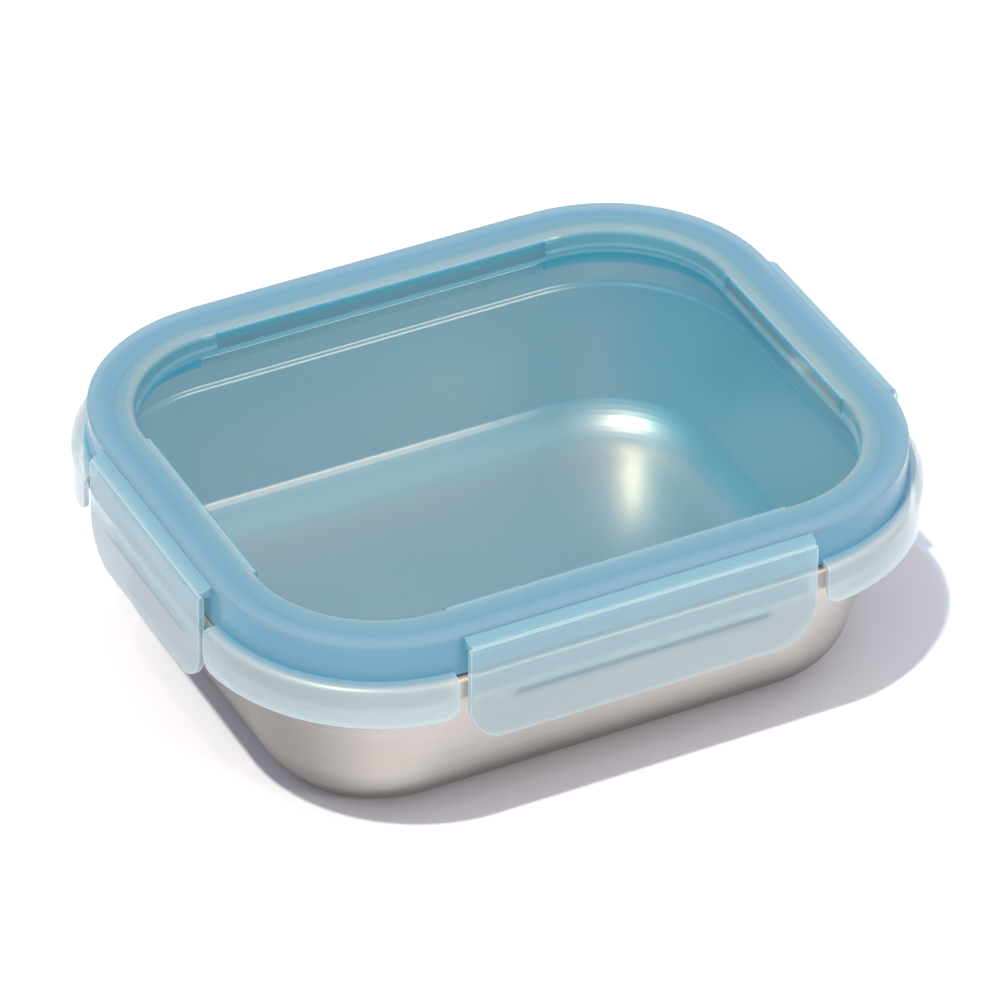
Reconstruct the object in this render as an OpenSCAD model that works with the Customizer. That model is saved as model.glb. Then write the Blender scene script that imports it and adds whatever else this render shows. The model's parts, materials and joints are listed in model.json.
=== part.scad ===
// Steel lunch box with a clip-down moulded lid, in millimetres.
// Origin: middle of the flat base, +Z up, long side along X.

/* [Overall] */
// Length of the lid over its rim
lid_l = 200; // [160:1:240]
// Width of the lid over its rim
lid_w = 163; // [135:1:200]
// Height of the closed box
box_h = 68; // [58:1:90]
// Plan radius of the rim's corners
rim_r = 47.5; // [38:0.5:56]

/* [Pan] */
// Thickness of the steel sheet
sheet_t = 0.8; // [0.6:0.1:1.2]
// Depth of the pan's rolled rim below the lid's top
pan_drop = 13.7; // [12:0.1:17]
// Height of the turned-down flange
flange_h = 6.2; // [4:0.1:9]
// How far the flange stands outside the lid's rim
flange_out = 1.0; // [0.5:0.1:1.5]
// Distance from the lid's rim to the inner face of the pan's mouth
mouth_in = 5.0; // [4.5:0.1:6]
// Depth of the shoulder in the wall below the pan's rim
shoulder_drop = 8.8; // [7:0.1:12]
// Outside radius where the wall meets the floor
base_r = 14.7; // [8:0.1:18]
// Lean of the wall below the shoulder, in degrees
wall_lean = 14.6; // [6:0.1:18]

/* [Lid] */
// Wall thickness of the moulding
lid_t = 1.6; // [1.2:0.1:2.2]
// Width of the raised rim
rim_w = 12.8; // [11:0.1:16]
// Depth of the window below the rim
window_drop = 6; // [3:0.1:8]
// Thickness of the window
window_t = 1.8; // [1.2:0.1:2.5]
// How far the side pads stand into the recess
pad_t = 0.9; // [0.5:0.1:1.5]
// Gap between the lid's wall and the pan's rim
lid_gap = 0.7; // [0.4:0.1:1.2]
// How far the corner skirts stand outside the rim
skirt_out = 4.4; // [3.6:0.1:6]
// Depth of the skirt's bottom edge below the rim
skirt_drop = 23.2; // [19:0.1:28]
// Gap between a skirt and a latch
skirt_gap = 3.3; // [2:0.1:5]
// Radius of the skirt's lower corners
skirt_r = 4; // [2:0.1:6]

/* [Latches] */
// Distance from a front or back latch's end to the corner's start
inset_long = 1.6; // [0:0.1:8]
// Distance from a side latch's end to the corner's start
inset_short = 0.3; // [0:0.1:6]
// Height of a latch below its hinge
latch_h = 31.4; // [26:0.1:36]
// Thickness of a latch
latch_t = 1.6; // [1.2:0.1:2]
// Radius of a latch's lower corners
latch_r = 12.5; // [6:0.5:14]
// Distance of the hinge line outside the rim
hinge_out = 3.3; // [3:0.1:4.5]
// Depth of the hinge line below the rim
hinge_drop = 2.8; // [2.4:0.1:4]
// Thickness of the hinge web
web_t = 0.4; // [0.3:0.05:0.6]

/* [Output] */
// Sub-part to draw

/* [Hidden] */
$fn = 96;
steel = [0.72, 0.70, 0.66];
clear = [0.60, 0.76, 0.80];
frost = [0.74, 0.82, 0.83];
blue = [0.45, 0.68, 0.80];

// Half sides of the rectangle through the corner centres.
cx = lid_l / 2 - rim_r;
cy = lid_w / 2 - rim_r;

// Lengths of the latches.
latch_long = 2 * (cx - inset_long);
latch_short = 2 * (cy - inset_short);

// Lid heights.
pan_h = box_h - pan_drop;
rim_under = box_h - lid_t;
window_z = box_h - window_drop;
wall_z = pan_h + lid_gap;
rim_round = 0.9;
recess_round = 2.6;
window_fillet = 1.2;
vestige_r = 1.9;
vestige_x = 2.9;
vestige_y = 5.7;
vestige_t = 0.6;
vestige_h = 0.3;
lip = 0.3;
pad_z = box_h - 1.1;
pad_edge = 0.4;

// Gasket and its fence.
seal_play = 0.1;
fence_out = -6.6;
fence_t = 1.2;
fence_z = pan_h + 2.7;
tab_z = pan_h - 1.3;
tab_root = 1;
tab_lead = 0.4;
seal_gap = 0.15;
seal_edge = 0.6;
seal_bead = 0.5;
seal_slot = 1.4;
seal_w = -lid_t - seal_play - fence_out - seal_play;

// Skirt.
skirt_t = 1.4;
skirt_top = box_h - 11.2;
skirt_round = 2;
skirt_z = box_h - skirt_drop;
cut_play = 1;

// Shelf that carries a hinge.
shelf_z = box_h - 1.3;
shelf_root = 1.2;
shelf_lip = 0.3;
shelf_taper = 0.9;
shelf_t = 1.9;

// Hinge line and latch section.
hinge_z = box_h - hinge_drop;
web_arm = 0.5;
face_out = 0.6;
latch_z = hinge_z - latch_h;
flange_z = pan_h - flange_h;
rib_gap = 0.3;
rib_t = 4.4;
rib_nose = 2.2;
rib_clear = 0.1;
rib_share = 0.75;
edge_round = 0.5;
chamfer_drop = 1.9;

// Pan rim.
shoulder_z = pan_h - shoulder_drop;
roll_out = 1.4;
roll_in = 1.6;
mouth_lean = 0.2;
step_r = 1.5;
step_back = 1.8;
step_turn = 50;

// Pan wall, worked down from the mouth.
step_x = -mouth_in - mouth_lean - step_r;
back_x = step_x + (step_r + step_back) * cos(step_turn);
back_z = shoulder_z - (step_r + step_back) * sin(step_turn);
wall_top_x = back_x - step_back * cos(wall_lean);
wall_top_z = back_z + step_back * sin(wall_lean);
inner_r = base_r - sheet_t;
wall_run = (wall_top_z - base_r + inner_r * sin(wall_lean)) / cos(wall_lean);
base_x = wall_top_x - wall_run * sin(wall_lean) - inner_r * cos(wall_lean);

// Points of an arc from angle a to angle b, in n steps.
function arc(x, z, r, a, b, n = 8) =
    [for (i = [0 : n]) [x + r * cos(a + (b - a) * i / n), z + r * sin(a + (b - a) * i / n)]];

// A section lies in [distance outside the rim, height].
module section(points) {
    polygon([for (p = points) [rim_r + p[0], p[1]]]);
}

// The section carried round the four corners.
module corners(points) {
    for (i = [0 : 3]) {
        sx = (i == 0 || i == 3) ? 1 : -1;
        sy = (i < 2) ? 1 : -1;
        translate([sx * cx, sy * cy, 0])
            rotate([0, 0, 90 * i])
                rotate_extrude(angle = 90)
                    section(points);
    }
}

// The section carried along the four straight sides.
module straights(points) {
    for (turn = [0, 180]) {
        rotate([0, 0, turn])
            translate([cx, cy, 0])
                rotate([90, 0, 0])
                    linear_extrude(2 * cy)
                        section(points);
        rotate([0, 0, turn + 90])
            translate([cy, cx, 0])
                rotate([90, 0, 0])
                    linear_extrude(2 * cx)
                        section(points);
    }
}

// The section carried all the way round.
module around(points) {
    corners(points);
    straights(points);
}

// The block that closes a plate between the corner centres.
module core(z, t) {
    translate([-cx, -cy, z])
        cube([2 * cx, 2 * cy, t]);
}

// Turns one side's geometry, drawn on the +X side, to its place.
module on_side(side) {
    turn = side == "right" ? 0 : side == "back" ? 90 : side == "left" ? 180 : 270;
    rotate([0, 0, turn])
        children();
}

function is_long(side) = side == "front" || side == "back";
function reach(side) = (is_long(side) ? lid_w : lid_l) / 2;
function span(side) = is_long(side) ? latch_long : latch_short;

// A section [distance outside the rim, height] run along one side, centred.
module bar(side, length, points) {
    on_side(side)
        translate([reach(side), length / 2, 0])
            rotate([90, 0, 0])
                linear_extrude(length)
                    polygon(points);
}

// Drawn steel pan: floor, wall, shoulder, rolled rim and turned-down flange.
module pan() {
    color(steel)
    union() {
        around(concat(
            [[flange_out, flange_z]],
            arc(flange_out - roll_out, pan_h - roll_out, roll_out, 0, 90),
            arc(roll_in - mouth_in, pan_h - roll_in, roll_in, 90, 180),
            arc(step_x, shoulder_z, step_r, 0, -step_turn, 6),
            arc(back_x, back_z, step_back, 180 - step_turn, 180 - wall_lean, 5),
            arc(base_x, base_r, inner_r, -wall_lean, -90, 12),
            [[-rim_r, sheet_t], [-rim_r, 0]],
            arc(base_x, base_r, base_r, -90, -wall_lean, 12),
            arc(back_x, back_z, step_back - sheet_t, 180 - wall_lean, 180 - step_turn, 5),
            arc(step_x, shoulder_z, step_r + sheet_t, -step_turn, 0, 6),
            arc(roll_in - mouth_in, pan_h - roll_in, roll_in - sheet_t, 180, 90),
            arc(flange_out - roll_out, pan_h - roll_out, roll_out - sheet_t, 90, 0),
            [[flange_out - sheet_t, flange_z]]
        ));
        core(0, sheet_t);
    }
}

// Cuts a skirt back from the latches and rounds its lower corners.
module skirt_cut(x, y) {
    depth = 2 * skirt_out;
    for (sx = [-1, 1]) for (sy = [-1, 1]) quarter(sx, sy) {
        translate([0, cy, 0])
            cube([x, rim_r + depth, box_h]);
        translate([cx, 0, 0])
            cube([rim_r + depth, y, box_h]);
        translate([x, cy, skirt_z])
            corner_cut(rim_r + depth);
        translate([cx + rim_r + depth, y, skirt_z])
            rotate([0, 0, 90])
                corner_cut(rim_r + depth);
    }
}

// Mirrors into one of the four quarters.
module quarter(sx, sy) {
    mirror([sx < 0 ? 1 : 0, 0, 0])
        mirror([0, sy < 0 ? 1 : 0, 0])
            children();
}

// Rounds an edge that runs along Y and starts at the origin.
module corner_cut(length) {
    difference() {
        translate([-cut_play, 0, -cut_play])
            cube([skirt_r + cut_play, length, skirt_r + cut_play]);
        translate([skirt_r, length + cut_play, skirt_r])
            rotate([90, 0, 0])
                cylinder(h = length + 2 * cut_play, r = skirt_r);
    }
}

// Four skirts that shield the steel rim at the corners.
module skirts() {
    difference() {
        corners(concat(
            [[-lid_t / 2, skirt_top]],
            arc(skirt_out - skirt_round, skirt_top - skirt_round, skirt_round, 90, 0),
            [[skirt_out, skirt_z], [skirt_out - skirt_t, skirt_z]],
            arc(skirt_out - skirt_round, skirt_top - skirt_round, skirt_round - skirt_t, 0, 90),
            [[-lid_t / 2, skirt_top - skirt_t]]
        ));
        skirt_cut(latch_long / 2 + skirt_gap, latch_short / 2 + skirt_gap);
    }
}

// Shelf that carries a latch's hinge.
module shelf(side) {
    tip = hinge_out - web_arm;
    bar(side, span(side), [
        [-shelf_root, shelf_z],
        [0, shelf_z],
        [tip, hinge_z + web_t / 2],
        [tip, hinge_z - shelf_lip],
        [tip - shelf_taper, hinge_z - shelf_lip - shelf_taper],
        [-shelf_root, hinge_z - shelf_t]
    ]);
}

// Long pad on the recess wall beside a latch.
module pad(side) {
    length = span(side) - 2 * pad_t;
    bar(side, length, [
        [-rim_w - pad_t, window_z - window_t / 2],
        [-rim_w + lid_t / 2, window_z - window_t / 2],
        [-rim_w + lid_t / 2, pad_z],
        [-rim_w - pad_t + pad_edge, pad_z],
        [-rim_w - pad_t, pad_z - pad_edge]
    ]);
}

// Tabs that centre the lid in the pan's mouth at the corners.
module tabs() {
    corners([
        [fence_out - fence_t, fence_z + tab_root],
        [fence_out, fence_z + tab_root],
        [fence_out, tab_z + tab_lead],
        [fence_out - tab_lead, tab_z],
        [fence_out - fence_t, tab_z]
    ]);
}

// Moulded lid: window, rim, fence, tabs, skirts and hinge shelves.
module lid() {
    color(clear)
    union() {
        around(concat(
            arc(-rim_round, box_h - rim_round, rim_round, 0, 90),
            arc(recess_round - rim_w, box_h - recess_round, recess_round, 90, 180),
            arc(-rim_w - window_fillet, window_z + window_fillet, window_fillet, 0, -90, 5),
            [
                [-rim_r, window_z],
                [-rim_r, window_z - window_t],
                [lid_t - rim_w, window_z - window_t],
                [lid_t - rim_w, rim_under],
                [fence_out - fence_t, rim_under],
                [fence_out - fence_t, fence_z],
                [fence_out, fence_z],
                [fence_out, rim_under],
                [-lid_t, rim_under],
                [-lid_t, wall_z + lip],
                [lip - lid_t, wall_z],
                [-lip, wall_z],
                [0, wall_z + lip]
            ]
        ));
        core(window_z - window_t, window_t);
        tabs();
        skirts();
        for (side = ["front", "back", "left", "right"]) {
            shelf(side);
            pad(side);
        }
        vestige();
    }
}

// Small moulding ring near the middle of the window.
module vestige() {
    translate([vestige_x, vestige_y, window_z - vestige_h])
        difference() {
            cylinder(h = 2 * vestige_h, r = vestige_r);
            translate([0, 0, vestige_h])
                cylinder(h = 2 * vestige_h, r = vestige_r - vestige_t);
        }
}

// Soft sealing ring between the rim's wall and its fence.
module gasket() {
    out = -lid_t - seal_play;
    in = out - seal_w;
    low = pan_h + seal_gap;
    top = rim_under - seal_play;
    mid = (out + in) / 2;
    color(blue)
    around([
        [out, top - seal_edge],
        [out - seal_edge, top],
        [in + seal_edge, top],
        [in, top - seal_edge],
        [in, low + seal_bead],
        [in + seal_bead, low],
        [mid - seal_slot / 2, low],
        [mid, low + seal_slot],
        [mid + seal_slot / 2, low],
        [out - seal_bead, low],
        [out, low + seal_bead]
    ]);
}

// Thin web that joins a shelf to its latch.
module hinge_web(side) {
    color(clear)
    bar(side, span(side) - 1, concat(
        arc(hinge_out - web_arm, hinge_z - web_arm, web_arm + web_t / 2, 90, 0, 6),
        arc(hinge_out - web_arm, hinge_z - web_arm, web_arm - web_t / 2, 0, 90, 6)
    ));
}

// Outline of a latch seen from outside, in [distance along the side, height].
module latch_outline(length) {
    half = length / 2;
    union() {
        translate([-half, latch_z + latch_r])
            square([length, latch_h - latch_r]);
        translate([-half + latch_r, latch_z])
            square([length - 2 * latch_r, latch_h / 2]);
        for (s = [-1, 1])
            translate([s * (half - latch_r), latch_z + latch_r])
                circle(r = latch_r);
    }
}

// Latch plate with its chamfered top and the rib that snaps under the flange.
module latch(side) {
    length = span(side);
    face = hinge_out + face_out;
    back = face - latch_t;
    rib_z = flange_z - rib_gap;
    tip = flange_out + rib_clear;
    color(frost)
    union() {
        intersection() {
            bar(side, length, [
                [hinge_out - web_t, hinge_z - web_arm],
                [hinge_out + web_t / 2, hinge_z - web_arm],
                [face, hinge_z - chamfer_drop],
                [face, latch_z + edge_round],
                [face - edge_round, latch_z],
                [back, latch_z],
                [back, hinge_z - chamfer_drop + web_t]
            ]);
            on_side(side)
                translate([reach(side), 0, 0])
                    rotate([90, 0, 90])
                        linear_extrude(2 * face)
                            latch_outline(length);
        }
        bar(side, rib_share * length, [
            [back + latch_t / 2, rib_z],
            [tip, rib_z],
            [tip, rib_z - rib_nose],
            [back, rib_z - rib_t],
            [back + latch_t / 2, rib_z - rib_t]
        ]);
    }
}

pan();
lid();
gasket();
hinge_web("front");  // hinge_web_front
hinge_web("back");  // hinge_web_back
hinge_web("left");  // hinge_web_left
hinge_web("right");  // hinge_web_right
latch("front");  // latch_front
latch("back");  // latch_back
latch("left");  // latch_left
latch("right");  // latch_right
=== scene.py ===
import json
import math

import bpy
from mathutils import Matrix, Vector


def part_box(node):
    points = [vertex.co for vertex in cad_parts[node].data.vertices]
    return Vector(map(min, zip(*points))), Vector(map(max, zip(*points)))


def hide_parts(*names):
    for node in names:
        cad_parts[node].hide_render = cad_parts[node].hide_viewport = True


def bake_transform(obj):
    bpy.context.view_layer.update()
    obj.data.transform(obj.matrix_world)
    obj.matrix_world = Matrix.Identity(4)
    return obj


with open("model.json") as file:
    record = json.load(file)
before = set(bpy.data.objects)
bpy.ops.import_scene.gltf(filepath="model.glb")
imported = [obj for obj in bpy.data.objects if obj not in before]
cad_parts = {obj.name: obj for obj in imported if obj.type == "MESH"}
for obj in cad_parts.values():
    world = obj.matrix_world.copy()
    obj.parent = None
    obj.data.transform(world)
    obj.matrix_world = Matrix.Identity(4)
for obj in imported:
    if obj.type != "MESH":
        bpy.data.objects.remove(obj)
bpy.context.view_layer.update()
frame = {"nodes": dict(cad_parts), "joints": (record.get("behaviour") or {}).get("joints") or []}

# ---------------------------------------------------------------- sizes
# Lengths are in millimetres, times MM where Blender takes them.
MM = 0.001
# Corner radius of the rim's outline.
RIM_R = 47.5
# How far the latches' hinge lines run outside the rim.
HINGE_OUT = 3.3
# Living hinge: thickness, radius of its bend, and how far its ends reach into shelf and latch.
WEB_T = 0.4
WEB_ARM = 0.5
WEB_ROOT = 0.5
# Where the lid's look changes: places out from the rim's outline, and heights.
WINDOW_EDGE = -13.2
RECESS_WALL = -10.8
WINDOW_TOP = 62.6
RECESS_BEND = 66.25
RIM_BEND = 66.55
SHELF_FOOT = 57.9
SKIRT_TOP = 57.1
# Rib behind a latch's face: its heights, and its end as a share of the latch's half length.
RIB_FOOT = 43.45
RIB_TOP = 45.75
RIB_REACH = 0.745


def hinge_point(side):
    """Middle of a latch's hinge line, from the frame's joints."""
    joint = next(j for j in frame["joints"] if j["name"] == f"latch_{side}_hinge")
    return [round(v / MM, 3) for v in joint["pos_m"]]


# Half sides of the rim's outline, between its corner centres.
CX = hinge_point("right")[0] - HINGE_OUT - RIM_R
CY = hinge_point("back")[1] - HINGE_OUT - RIM_R


# ---------------------------------------------------------------- node helper
class Tree:
    """Builds a material's node tree with short calls, which return sockets."""

    def __init__(self, name):
        self.mat = bpy.data.materials.new(name)
        self.mat.use_nodes = True
        self.nt = self.mat.node_tree
        self.nt.nodes.clear()
        self.out = self.nt.nodes.new("ShaderNodeOutputMaterial")

    def put(self, socket, value):
        if isinstance(value, bpy.types.NodeSocket):
            self.nt.links.new(value, socket)
        elif value is not None:
            socket.default_value = value

    def node(self, kind, out=0, props=None, **inputs):
        """A new node; inputs go by name, with _ for a space, or as i0, i1 by place."""
        n = self.nt.nodes.new(kind)
        for k, v in (props or {}).items():
            setattr(n, k, v)
        for k, v in inputs.items():
            key = int(k[1:]) if k[0] == "i" and k[1:].isdigit() else k.replace("_", " ")
            self.put(n.inputs[key], v)
        return n.outputs[out]

    def math(self, op, a, b=None, c=None, clamp=False):
        return self.node("ShaderNodeMath", props={"operation": op, "use_clamp": clamp}, i0=a, i1=b, i2=c)

    def vec(self, op, a, b=None):
        out = "Value" if op in ("LENGTH", "DOT_PRODUCT") else "Vector"
        return self.node("ShaderNodeVectorMath", out=out, props={"operation": op}, i0=a, i1=b)

    def split(self, vector):
        """The three parts of a vector."""
        return self.node("ShaderNodeSeparateXYZ", i0=vector).node.outputs

    def product(self, first, *others):
        for other in others:
            first = self.math("MULTIPLY", first, other)
        return first

    def lerp(self, mask, a, b):
        """Number a where the mask is 0, b where it is 1."""
        return self.math("MULTIPLY_ADD", mask, self.math("SUBTRACT", b, a), a)

    def ramp(self, value, lo, hi, a=0.0, b=1.0):
        """Smooth step of value from lo to hi, onto a to b."""
        return self.node("ShaderNodeMapRange", props={"interpolation_type": "SMOOTHSTEP"},
                         i0=value, i1=lo, i2=hi, i3=a, i4=b)

    def above(self, value, level, soft):
        """1 where value is above the level, 0 below it, softened by soft each way."""
        return self.ramp(value, level - soft, level + soft)

    def below(self, value, level, soft):
        return self.ramp(value, level + soft, level - soft)

    def mix(self, fac, a, b, blend="MIX"):
        """Colour a where fac is 0, b where it is 1."""
        n = self.nt.nodes.new("ShaderNodeMix")
        n.data_type = "RGBA"
        n.blend_type = blend
        self.put(n.inputs[0], fac)
        self.put(n.inputs[6], a)
        self.put(n.inputs[7], b)
        return n.outputs[2]

    def colours(self, value, stops):
        """Colours blended between (value, colour) stops."""
        out = stops[0][1]
        for (v0, _), (v1, c1) in zip(stops, stops[1:]):
            out = self.mix(self.ramp(value, v0, v1), out, c1)
        return out

    def noise(self, vector, scale, detail=2.0, rough=0.5):
        return self.node("ShaderNodeTexNoise", Vector=vector, Scale=scale, Detail=detail, Roughness=rough)

    def position(self):
        return self.node("ShaderNodeTexCoord", out="Object")

    def normal(self):
        return self.node("ShaderNodeNewGeometry", out="Normal")

    def rim_distance(self):
        """Distance outside the rim's outline and height, both in millimetres."""
        p = self.vec("SCALE", self.position())
        p.node.inputs["Scale"].default_value = 1 / MM
        q = self.vec("SUBTRACT", self.vec("ABSOLUTE", p), (CX, CY, 0))
        corner = self.vec("MULTIPLY", self.vec("MAXIMUM", q, (0, 0, 0)), (1, 1, 0))
        x, y, _ = self.split(q)
        inner = self.math("MINIMUM", self.math("MAXIMUM", x, y), 0.0)
        out = self.math("SUBTRACT", self.math("ADD", self.vec("LENGTH", corner), inner), RIM_R)
        return out, self.split(p)[2]

    def done(self, shader):
        self.nt.links.new(shader, self.out.inputs[0])
        return self.mat


# ---------------------------------------------------------------- materials
def steel_material():
    """Drawn steel: fine brushing along the outer wall, satin inside."""
    t = Tree("brushed_steel")
    pos, normal = t.position(), t.normal()
    nx, _, nz = t.split(normal)
    sideways = t.math("ABSOLUTE", nx)
    z = t.math("MULTIPLY", t.split(pos)[2], 1 / MM)
    # The outer wall leans outward, so its normal points down.
    outside = t.ramp(nz, 0.10, -0.05)

    lines = t.node("ShaderNodeMapping", Vector=pos, Scale=(8, 8, 1600))
    brush = t.noise(lines, 2.0, 4.0, 0.65)
    cloud = t.noise(pos, 14.0, 3.0, 0.55)
    grain = t.noise(pos, 1800.0, 1.0, 0.5)
    streaks = t.math("ADD", t.math("MULTIPLY", brush, 0.6), t.math("MULTIPLY", cloud, 0.4))
    streaks = t.product(t.ramp(streaks, 0.36, 0.64), t.lerp(outside, 0.2, 1.0))
    base = t.mix(streaks, (0.53, 0.515, 0.485, 1), (0.62, 0.605, 0.575, 1))

    # Outside, the ends and the foot are painted darker: painted shade for the shadowed floor that they
    # reflect. Inside, walls and floor get painted light and shade by which way they face.
    painted_shade_outside = t.product(t.ramp(sideways, 0.35, 0.95, 1.0, 0.55), t.ramp(z, 4.0, 17.0, 0.45, 1.0))
    outer = t.node("ShaderNodeCombineXYZ", i0=painted_shade_outside, i1=painted_shade_outside, i2=painted_shade_outside)
    # Painted light and shade: the inside floor is painted lightest and warmest, the inside end walls
    # darker and bluer.
    inner = t.mix(t.ramp(sideways, 0.3, 0.9), (1.20, 1.02, 0.93, 1), (0.62, 0.92, 0.95, 1))
    inner = t.mix(t.ramp(nz, 0.80, 0.99), inner, (1.45, 1.12, 0.98, 1))
    base = t.mix(1.0, base, t.mix(outside, inner, outer), "MULTIPLY")

    # Inside, the foot of the wall is drawn a little softer than the sheet's own bend.
    lift = t.product(t.math("SUBTRACT", 1.0, outside), t.ramp(z, 12.8, 11.0, 0.0, 0.42))
    bend = t.vec("ADD", normal, t.node("ShaderNodeCombineXYZ", i2=lift))
    height = t.math("ADD", brush, t.math("MULTIPLY", grain, 0.4))
    bump = t.node("ShaderNodeBump", Strength=t.lerp(outside, 0.006, 0.146), Distance=0.1 * MM,
                  Height=height, Normal=t.vec("NORMALIZE", bend))

    rough = t.math("MULTIPLY_ADD", outside, t.ramp(brush, 0.3, 0.7, -0.04, 0.04), 0.33)
    tangent = t.node("ShaderNodeTangent", props={"direction_type": "RADIAL", "axis": "Z"})
    polished = t.node("ShaderNodeBsdfPrincipled", Base_Color=base, Metallic=1.0,
                      Roughness=rough, Anisotropic=0.1, Normal=bump, Tangent=tangent)
    satin = t.node("ShaderNodeBsdfPrincipled", Base_Color=base, Metallic=1.0, Roughness=0.62, Normal=bump)
    return t.done(t.node("ShaderNodeMixShader", i0=0.46, i1=polished, i2=satin))


def silicone_material():
    t = Tree("blue_silicone")
    grain = t.noise(t.position(), 500, 2)
    base = t.mix(grain, (0.17, 0.36, 0.50, 1), (0.20, 0.40, 0.55, 1))
    bump = t.node("ShaderNodeBump", Strength=0.05, Distance=0.2 * MM, Height=grain)
    return t.done(t.node("ShaderNodeBsdfPrincipled", Base_Color=base, Roughness=0.55, Normal=bump))


def edge_glow(t, radius, strength):
    """Up to strength along the sharp edges, where light that travels in the plastic comes out."""
    soft = t.node("ShaderNodeBevel", props={"samples": 6}, Radius=radius * MM)
    return t.ramp(t.vec("DOT_PRODUCT", soft, t.normal()), 1.0, 0.93, 0.0, strength)


def translucent(t, share, milk, tint, shade, rough, grain, glow=None):
    """Moulded plastic: share of milky scatter, the rest clear with a tint, under a gloss.

    Lamps shine through it by the shade colour alone.
    """
    pos = t.position()
    bump = t.node("ShaderNodeBump", Strength=0.04, Distance=0.2 * MM, Height=t.noise(pos, grain, 3))
    cloud = t.ramp(t.noise(pos, 25, 3), 0.3, 0.7, 0.0, 0.05)
    milk = t.mix(cloud, milk, (0.5, 0.62, 0.66, 1))
    if glow is not None:
        milk = t.mix(glow, milk, (0.56, 0.76, 0.80, 1))
        share = t.lerp(glow, share, 0.9)
    scatter = t.node("ShaderNodeMixShader", i0=0.25,
                     i1=t.node("ShaderNodeBsdfDiffuse", Color=milk, Normal=bump),
                     i2=t.node("ShaderNodeBsdfTranslucent", Color=milk, Normal=bump))
    clear = t.node("ShaderNodeBsdfTransparent", Color=tint)
    body = t.node("ShaderNodeMixShader", i0=share, i1=clear, i2=scatter)
    front = t.math("SUBTRACT", 1.0, t.node("ShaderNodeNewGeometry", out="Backfacing"), clamp=True)
    gloss = t.product(t.node("ShaderNodeFresnel", IOR=1.45, Normal=bump), front)
    mirror = t.node("ShaderNodeBsdfGlossy", Color=(1, 1, 1, 1), Roughness=rough, Normal=bump)
    shiny = t.node("ShaderNodeMixShader", i0=gloss, i1=body, i2=mirror)
    return t.node("ShaderNodeMixShader", i0=t.node("ShaderNodeLightPath", out="Is Shadow Ray"),
                  i1=shiny, i2=t.node("ShaderNodeBsdfTransparent", Color=shade))


def lid_material():
    """Clear window, milky rim whose recess wall is painted lighter and bluer as painted light, and
    frosted skirts.
    """
    t = Tree("lid_plastic_moulded")
    out, z = t.rim_distance()
    rim = t.above(out, WINDOW_EDGE, 1.0)
    recess = t.product(t.above(z, WINDOW_TOP, 0.4), t.below(z, RECESS_BEND, 0.65),
                       t.below(out, RECESS_WALL, 0.4))
    wall = t.product(t.above(out, -0.5, 0.4), t.below(z, RIM_BEND, 0.75))
    shelf = t.product(t.above(out, 0.07, 0.05), t.above(z, SHELF_FOOT, 0.3))
    skirt = t.product(t.above(out, 0.85, 0.55), t.below(z, SKIRT_TOP, 0.5))

    # The top of the rim, from the recess's edge outwards. The pale stops at -12.7 and -11.4 are a painted
    # highlight along the rim's inner edge.
    top = t.colours(out, [
        (-14.0, (0.14, 0.42, 0.54, 1)),
        (-12.7, (0.40, 0.57, 0.62, 1)),
        (-11.4, (0.33, 0.47, 0.52, 1)),
        (-10.2, (0.22, 0.42, 0.50, 1)),
        (-8.6, (0.195, 0.405, 0.50, 1)),
        (-5.5, (0.175, 0.39, 0.53, 1)),
        (-1.5, (0.24, 0.43, 0.53, 1)),
    ])
    milk = t.mix(rim, (0.02, 0.43, 0.66, 1), top)
    # Painted light: the recess wall is coloured lighter and bluer than its shading would give.
    milk = t.mix(recess, milk, (0.20, 0.55, 0.66, 1))
    milk = t.mix(wall, milk, (0.17, 0.45, 0.62, 1))
    milk = t.mix(shelf, milk, (0.28, 0.52, 0.62, 1))
    hanging = t.mix(t.ramp(z, 53, 56.6), (0.53, 0.64, 0.68, 1), (0.54, 0.63, 0.66, 1))
    milk = t.mix(skirt, milk, hanging)

    share = t.lerp(skirt, t.lerp(rim, 0.22, 0.77), t.ramp(z, 46, 53, 0.62, 0.45))
    shade = t.mix(rim, (0.90, 0.92, 0.90, 1), (0.25, 0.40, 0.5, 1))
    shade = t.mix(skirt, shade, (0.95, 0.97, 0.98, 1))
    glow = t.product(edge_glow(t, 0.7, 0.8), skirt)
    tint = (0.94, 0.98, 0.99, 1)
    return t.done(translucent(t, share, milk, tint, shade, t.lerp(skirt, 0.10, 0.28), 90, glow))


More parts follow.
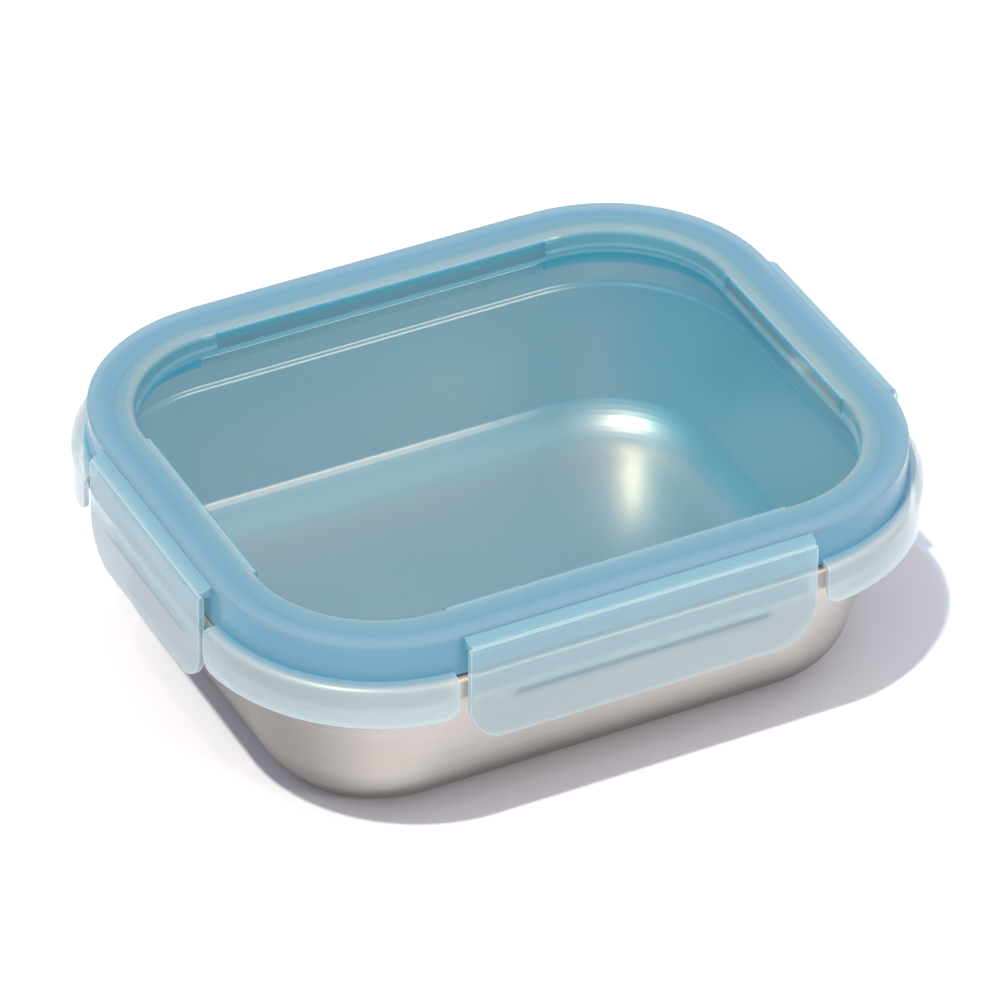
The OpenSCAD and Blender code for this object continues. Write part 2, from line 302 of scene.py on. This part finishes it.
def latch_material():
    """Frosted plastic, darker and less clear where the rib runs behind the face, with a painted shadow of
    the rib as a dark band on the face.
    """
    t = Tree("latch_plastic_frosted")
    out, z = t.rim_distance()
    x, y, _ = t.split(t.vec("ABSOLUTE", t.position()))
    # How far along its latch a point is: 0 in the middle, 1 at the end.
    front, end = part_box("latch_front")[1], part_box("latch_right")[1]
    on_end = t.math("GREATER_THAN", x, (front.x + end.x) / 2)
    along_front = t.math("MULTIPLY", x, 1 / front.x)
    along_end = t.math("MULTIPLY", y, 1 / end.y)
    along = t.lerp(on_end, along_front, along_end)

    low = t.below(z, 49, 3)
    rib = t.product(t.above(z, RIB_FOOT, 0.45), t.below(z, RIB_TOP, 0.45),
                    t.below(along, RIB_REACH, 0.015), t.below(out, 2.4, 0.2))
    # Painted shadow: a dark band on the latch's face, just above the rib's height.
    line = t.product(t.above(z, RIB_TOP + 0.7, 0.45), t.below(z, RIB_TOP + 2.3, 0.55),
                     t.below(along, RIB_REACH - 0.015, 0.03), t.above(out, 3.25, 0.25))
    milk = t.mix(low, (0.44, 0.65, 0.73, 1), (0.44, 0.535, 0.57, 1))
    milk = t.mix(t.math("MULTIPLY", line, 0.75), milk, (0.20, 0.34, 0.43, 1))
    milk = t.mix(rib, milk, (0.17, 0.30, 0.36, 1))
    share = t.lerp(rib, t.lerp(low, 0.42, 0.66), 0.9)
    tint, shade = (0.95, 0.98, 0.98, 1), (0.95, 0.97, 0.98, 1)
    return t.done(translucent(t, share, milk, tint, shade, 0.32, 300, edge_glow(t, 0.8, 0.85)))


def web_material():
    """The thin living hinges between shelves and latches."""
    t = Tree("web_plastic_clear")
    milk, tint, shade = (0.40, 0.56, 0.60, 1), (0.95, 0.98, 0.98, 1), (0.9, 0.95, 0.96, 1)
    return t.done(translucent(t, 0.55, milk, tint, shade, 0.2, 90))


LATCH = latch_material()
WEB = web_material()
NODE_MATERIALS = {"pan": steel_material(), "lid": lid_material(), "gasket": silicone_material()}

for name, node in frame["nodes"].items():
    plain = WEB if name.startswith("hinge_web") else LATCH
    node.data.materials.clear()
    node.data.materials.append(NODE_MATERIALS.get(name, plain))


# ---------------------------------------------------------------- hinge webs
def web_loop(mid, bend, hinge_z, steps=12):
    """A web's section as (distance outside the rim, height): its upper line, then its lower line back."""
    line = [(mid - WEB_ROOT, hinge_z, 0, 1)]
    for i in range(steps + 1):
        a = math.radians(90 * (1 - i / steps))
        line.append((mid + WEB_ARM * math.cos(a), bend + WEB_ARM * math.sin(a), math.cos(a), math.sin(a)))
    line.append((HINGE_OUT, bend - WEB_ROOT, 1, 0))
    half = WEB_T / 2
    upper = [(o + n * half, z + m * half) for o, z, n, m in line]
    lower = [(o - n * half, z - m * half) for o, z, n, m in reversed(line)]
    return upper + lower


def strip_faces(n):
    """Sides of a strip between two loops of n points, and its two ends as rows of quads."""
    faces = [(i, (i + 1) % n, n + (i + 1) % n, n + i) for i in range(n)]
    for i in range(n // 2 - 1):
        faces.append((i, i + 1, n - 2 - i, n - 1 - i))
        faces.append((2 * n - 1 - i, 2 * n - 2 - i, n + i + 1, n + i))
    return faces


def hinge_web(side):
    """Thin curved web from the shelf's tip to the latch's top, built in place of the CAD web, which is
    hidden.
    """
    node = "hinge_web_" + side
    x, y, hinge_z = hinge_point(side)
    reach = math.hypot(x, y) - HINGE_OUT
    low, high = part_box(node)
    length = round(max((high - low).to_2d()) / MM, 2)
    mid, bend = HINGE_OUT - WEB_ARM, hinge_z - WEB_ARM
    loop = web_loop(mid, bend, hinge_z)

    spin = Matrix.Rotation(math.atan2(y, x), 3, "Z")
    place = lambda out, along, z: spin @ Vector((reach + out, along, z)) * MM
    mesh = bpy.data.meshes.new("web_" + side)
    verts = [place(out, along, z) for along in (-length / 2, length / 2) for out, z in loop]
    mesh.from_pydata(verts, [], strip_faces(len(loop)))
    mesh.validate()
    mesh.update()
    mesh.materials.append(WEB)
    web = bpy.data.objects.new("web_" + side, mesh)
    bpy.context.scene.collection.objects.link(web)

    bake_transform(web)
    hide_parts(node)


for side in ("front", "back", "left", "right"):
    hinge_web(side)

# ---------------------------------------------------------------- floor
bpy.ops.mesh.primitive_plane_add(size=30, location=(0, 0, 0))
floor = bpy.context.object
floor.name = "floor"
paper = Tree("floor_paper")
floor.data.materials.append(paper.done(paper.node("ShaderNodeBsdfDiffuse", Color=(0.82, 0.82, 0.86, 1))))


# ---------------------------------------------------------------- light
def studio_world(towards, dim, bright, colour):
    """A plain room, brightest in the direction given and dimmest opposite."""
    world = bpy.data.worlds.new("studio")
    world.use_nodes = True
    nodes, links = world.node_tree.nodes, world.node_tree.links
    facing = nodes.new("ShaderNodeVectorMath")
    facing.operation = "DOT_PRODUCT"
    facing.inputs[1].default_value = towards
    links.new(nodes.new("ShaderNodeTexCoord").outputs["Generated"], facing.inputs[0])
    level = nodes.new("ShaderNodeMapRange")
    for i, v in enumerate((-1.0, 1.0, dim, bright), 1):
        level.inputs[i].default_value = v
    links.new(facing.outputs["Value"], level.inputs[0])
    nodes["Background"].inputs["Color"].default_value = colour
    links.new(level.outputs[0], nodes["Background"].inputs["Strength"])
    return world


def lamp(name, kind, aim, location=(0, 0, 0), **settings):
    """A lamp that shines along aim."""
    data = bpy.data.lights.new(name, kind)
    for key, value in settings.items():
        setattr(data, key, value)
    holder = bpy.data.objects.new(name, data)
    holder.location = location
    holder.rotation_mode = "QUATERNION"
    holder.rotation_quaternion = Vector(aim).to_track_quat("-Z", "Y")
    bpy.context.scene.collection.objects.link(holder)


FRONT_LAMP_AT = Vector((0.67, -1.49, 0.76))
bpy.context.scene.world = studio_world((0.87, 0.50, 0.0), 0.62, 0.89, (0.94, 0.95, 1.07, 1))
lamp("sun", "SUN", (0.319, 0.141, -1), energy=2.75, angle=math.radians(1.6), color=(1.0, 0.93, 0.82))
lamp("front_lamp", "AREA", -FRONT_LAMP_AT, FRONT_LAMP_AT,
     shape="DISK", size=0.35, energy=7.5, color=(1.0, 0.84, 0.68))

# ---------------------------------------------------------------- camera
CAMERA_AT = (-0.76764, -1.47640, 1.27035)
AZIMUTH, ELEVATION, ROLL = (math.radians(a) for a in (-27.51, 36.48, 0.795))


def camera_matrix():
    """The camera stands at CAMERA_AT and looks down by ELEVATION, leaning by ROLL."""
    level = math.cos(ELEVATION)
    back = Vector((math.sin(AZIMUTH) * level, -math.cos(AZIMUTH) * level, math.sin(ELEVATION)))
    right = Vector((math.cos(AZIMUTH), math.sin(AZIMUTH), 0))
    up = back.cross(right)
    across = right * math.cos(ROLL) + up * math.sin(ROLL)
    above = up * math.cos(ROLL) - right * math.sin(ROLL)
    turned = Matrix((across, above, back)).transposed().to_4x4()
    turned.translation = Vector(CAMERA_AT)
    return turned


lens = bpy.data.cameras.new("camera")
lens.lens = 277.34
lens.sensor_width = 36
lens.clip_start, lens.clip_end = 0.1, 20
camera = bpy.data.objects.new("camera", lens)
camera.matrix_world = camera_matrix()
bpy.context.scene.collection.objects.link(camera)
bpy.context.scene.camera = camera

bpy.context.scene.view_settings.view_transform = "Standard"
cycles = bpy.context.scene.cycles
cycles.use_denoising = True
cycles.transparent_max_bounces = 32
cycles.max_bounces = 12
